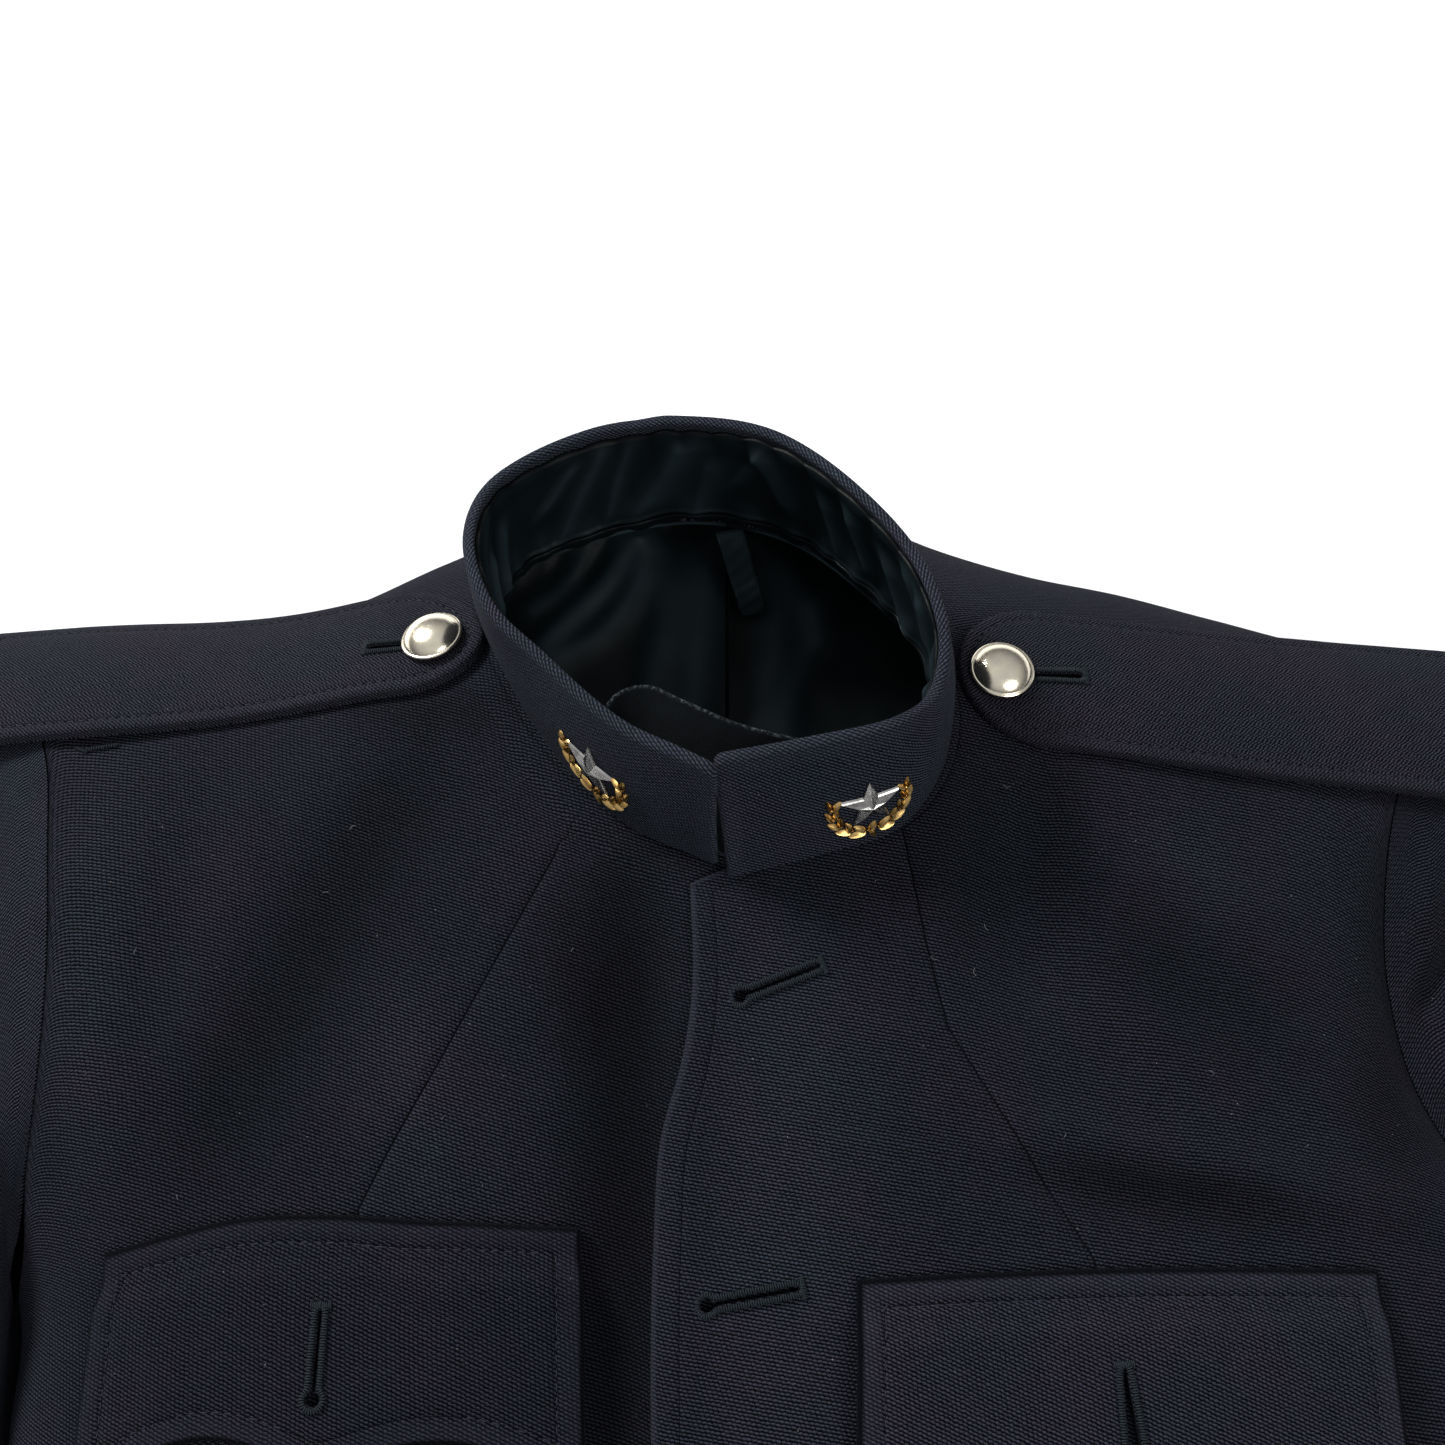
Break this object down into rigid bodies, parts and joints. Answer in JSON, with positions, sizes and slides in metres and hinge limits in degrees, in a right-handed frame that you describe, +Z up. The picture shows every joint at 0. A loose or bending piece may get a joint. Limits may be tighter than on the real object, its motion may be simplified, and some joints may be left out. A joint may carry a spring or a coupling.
{
  "type": "dress uniform jacket",
  "caption": "Dress uniform jacket with a stand collar, shoulder straps and pleated breast pockets, laid on its back with the collar hooked shut and the left front lapped over the right.",
  "frame": {"origin": "on the surface the jacket lies on, under the centre of the back at the height of the underarms", "axes": "+X to the wearer's left, +Y from the hem to the collar, +Z up from the surface to the chest"},
  "size_m": [0.843, 0.7597, 0.1064],
  "materials": {
    "back_cloth": "matt wool",
    "back_satin": "satin",
    "collar_cloth": "matt wool",
    "collar_satin": "satin",
    "tab_felt": "felt",
    "loop_satin": "satin",
    "front_cloth_right": "matt wool",
    "front_cloth_left": "matt wool",
    "sleeve_cloth_right": "matt wool",
    "sleeve_cloth_left": "matt wool",
    "strap_cloth_right": "matt wool",
    "strap_cloth_left": "matt wool",
    "button_nickel_right": "polished nickel",
    "button_nickel_left": "polished nickel",
    "pocket_cloth_right": "matt wool",
    "pocket_cloth_left": "matt wool",
    "flap_cloth_right": "matt wool",
    "flap_cloth_left": "matt wool",
    "star_silver_right": "silver plate",
    "star_silver_left": "silver plate",
    "wreath_gilt_right": "gilt",
    "wreath_gilt_left": "gilt"
  },
  "bodies": {
    "root": {"back": "back_cloth", "back_lining": "back_satin", "collar": "collar_cloth", "collar_lining": "collar_satin", "collar_tab": "tab_felt", "hanger_loop": "loop_satin", "front_right": "front_cloth_right", "front_left": "front_cloth_left", "sleeve_right": "sleeve_cloth_right", "sleeve_left": "sleeve_cloth_left", "shoulder_strap_right": "strap_cloth_right", "shoulder_strap_left": "strap_cloth_left", "strap_button_right": "button_nickel_right", "strap_button_left": "button_nickel_left", "pocket_right": "pocket_cloth_right", "pocket_left": "pocket_cloth_left", "pocket_flap_right": "flap_cloth_right", "pocket_flap_left": "flap_cloth_left", "collar_star_right": "star_silver_right", "collar_star_left": "star_silver_left", "collar_wreath_right": "wreath_gilt_right", "collar_wreath_left": "wreath_gilt_left"}
  },
  "joints": []
}
